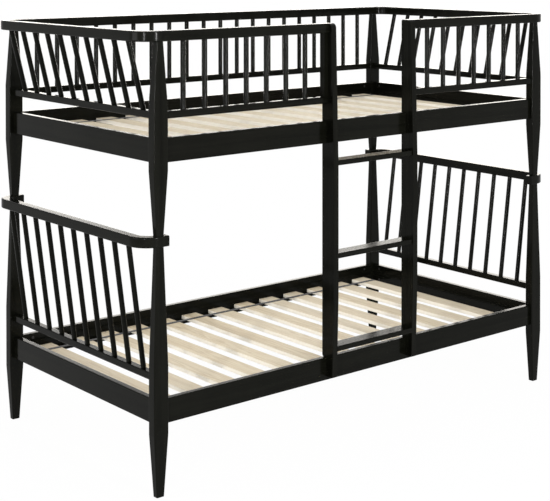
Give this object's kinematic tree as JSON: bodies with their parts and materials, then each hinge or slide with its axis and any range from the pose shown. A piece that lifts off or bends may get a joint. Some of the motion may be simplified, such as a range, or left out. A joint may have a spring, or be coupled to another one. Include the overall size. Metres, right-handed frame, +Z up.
{
  "type": "bunk bed",
  "caption": "Bunk bed with tapered wooden posts, slatted bases, slanting end spindles under rounded wrap-round caps, spindle guards and a fixed ladder at the front.",
  "frame": {"origin": "on the floor, at the middle of the bed's overall length and depth", "axes": "+X along the bed to the right seen from the ladder side, +Y from the ladder side to the back, +Z up"},
  "size_m": [2.118, 1.1016, 1.605],
  "materials": {
    "black_lacquer": "satin black lacquer",
    "slat_wood": "planed, unfinished",
    "dowel_wood": "turned beech",
    "webbing": "woven tape",
    "steel": "zinc plated",
    "dark_steel": "black oxide"
  },
  "bodies": {
    "root": {"barrel_nuts": "dark_steel", "board_studs": "steel", "dowel_pins": "dowel_wood", "front_guard_bar_left": "black_lacquer", "front_guard_bar_right": "black_lacquer", "front_guard_spindles_left": "black_lacquer", "front_guard_spindles_right": "black_lacquer", "front_guard_top_left": "black_lacquer", "front_guard_top_right": "black_lacquer", "gate_stile_left": "black_lacquer", "gate_stile_right": "black_lacquer", "ladder_screws": "steel", "ladder_stile_left": "black_lacquer", "ladder_stile_right": "black_lacquer", "lower_cap_left": "black_lacquer", "lower_cap_right": "black_lacquer", "lower_cleat_front": "black_lacquer", "lower_cleat_rear": "black_lacquer", "lower_end_bar_left": "black_lacquer", "lower_end_bar_right": "black_lacquer", "lower_end_board_left": "black_lacquer", "lower_end_board_right": "black_lacquer", "lower_end_spindles_left": "black_lacquer", "lower_end_spindles_right": "black_lacquer", "lower_post_bl": "black_lacquer", "lower_post_br": "black_lacquer", "lower_post_fl": "black_lacquer", "lower_post_fr": "black_lacquer", "lower_side_board_front": "black_lacquer", "lower_side_board_rear": "black_lacquer", "lower_slats": "slat_wood", "lower_straps": "webbing", "post_pins": "steel", "rear_guard_bar": "black_lacquer", "rear_guard_spindles": "black_lacquer", "rear_guard_top": "black_lacquer", "rung_1": "black_lacquer", "rung_2": "black_lacquer", "rung_3": "black_lacquer", "slat_screws": "steel", "upper_cap_left": "black_lacquer", "upper_cap_right": "black_lacquer", "upper_cleat_front": "black_lacquer", "upper_cleat_rear": "black_lacquer", "upper_end_bar_left": "black_lacquer", "upper_end_bar_right": "black_lacquer", "upper_end_board_left": "black_lacquer", "upper_end_board_right": "black_lacquer", "upper_end_spindles_left": "black_lacquer", "upper_end_spindles_right": "black_lacquer", "upper_post_bl": "black_lacquer", "upper_post_br": "black_lacquer", "upper_post_fl": "black_lacquer", "upper_post_fr": "black_lacquer", "upper_side_board_front": "black_lacquer", "upper_side_board_rear": "black_lacquer", "upper_slats": "slat_wood", "upper_straps": "webbing"}
  },
  "joints": []
}
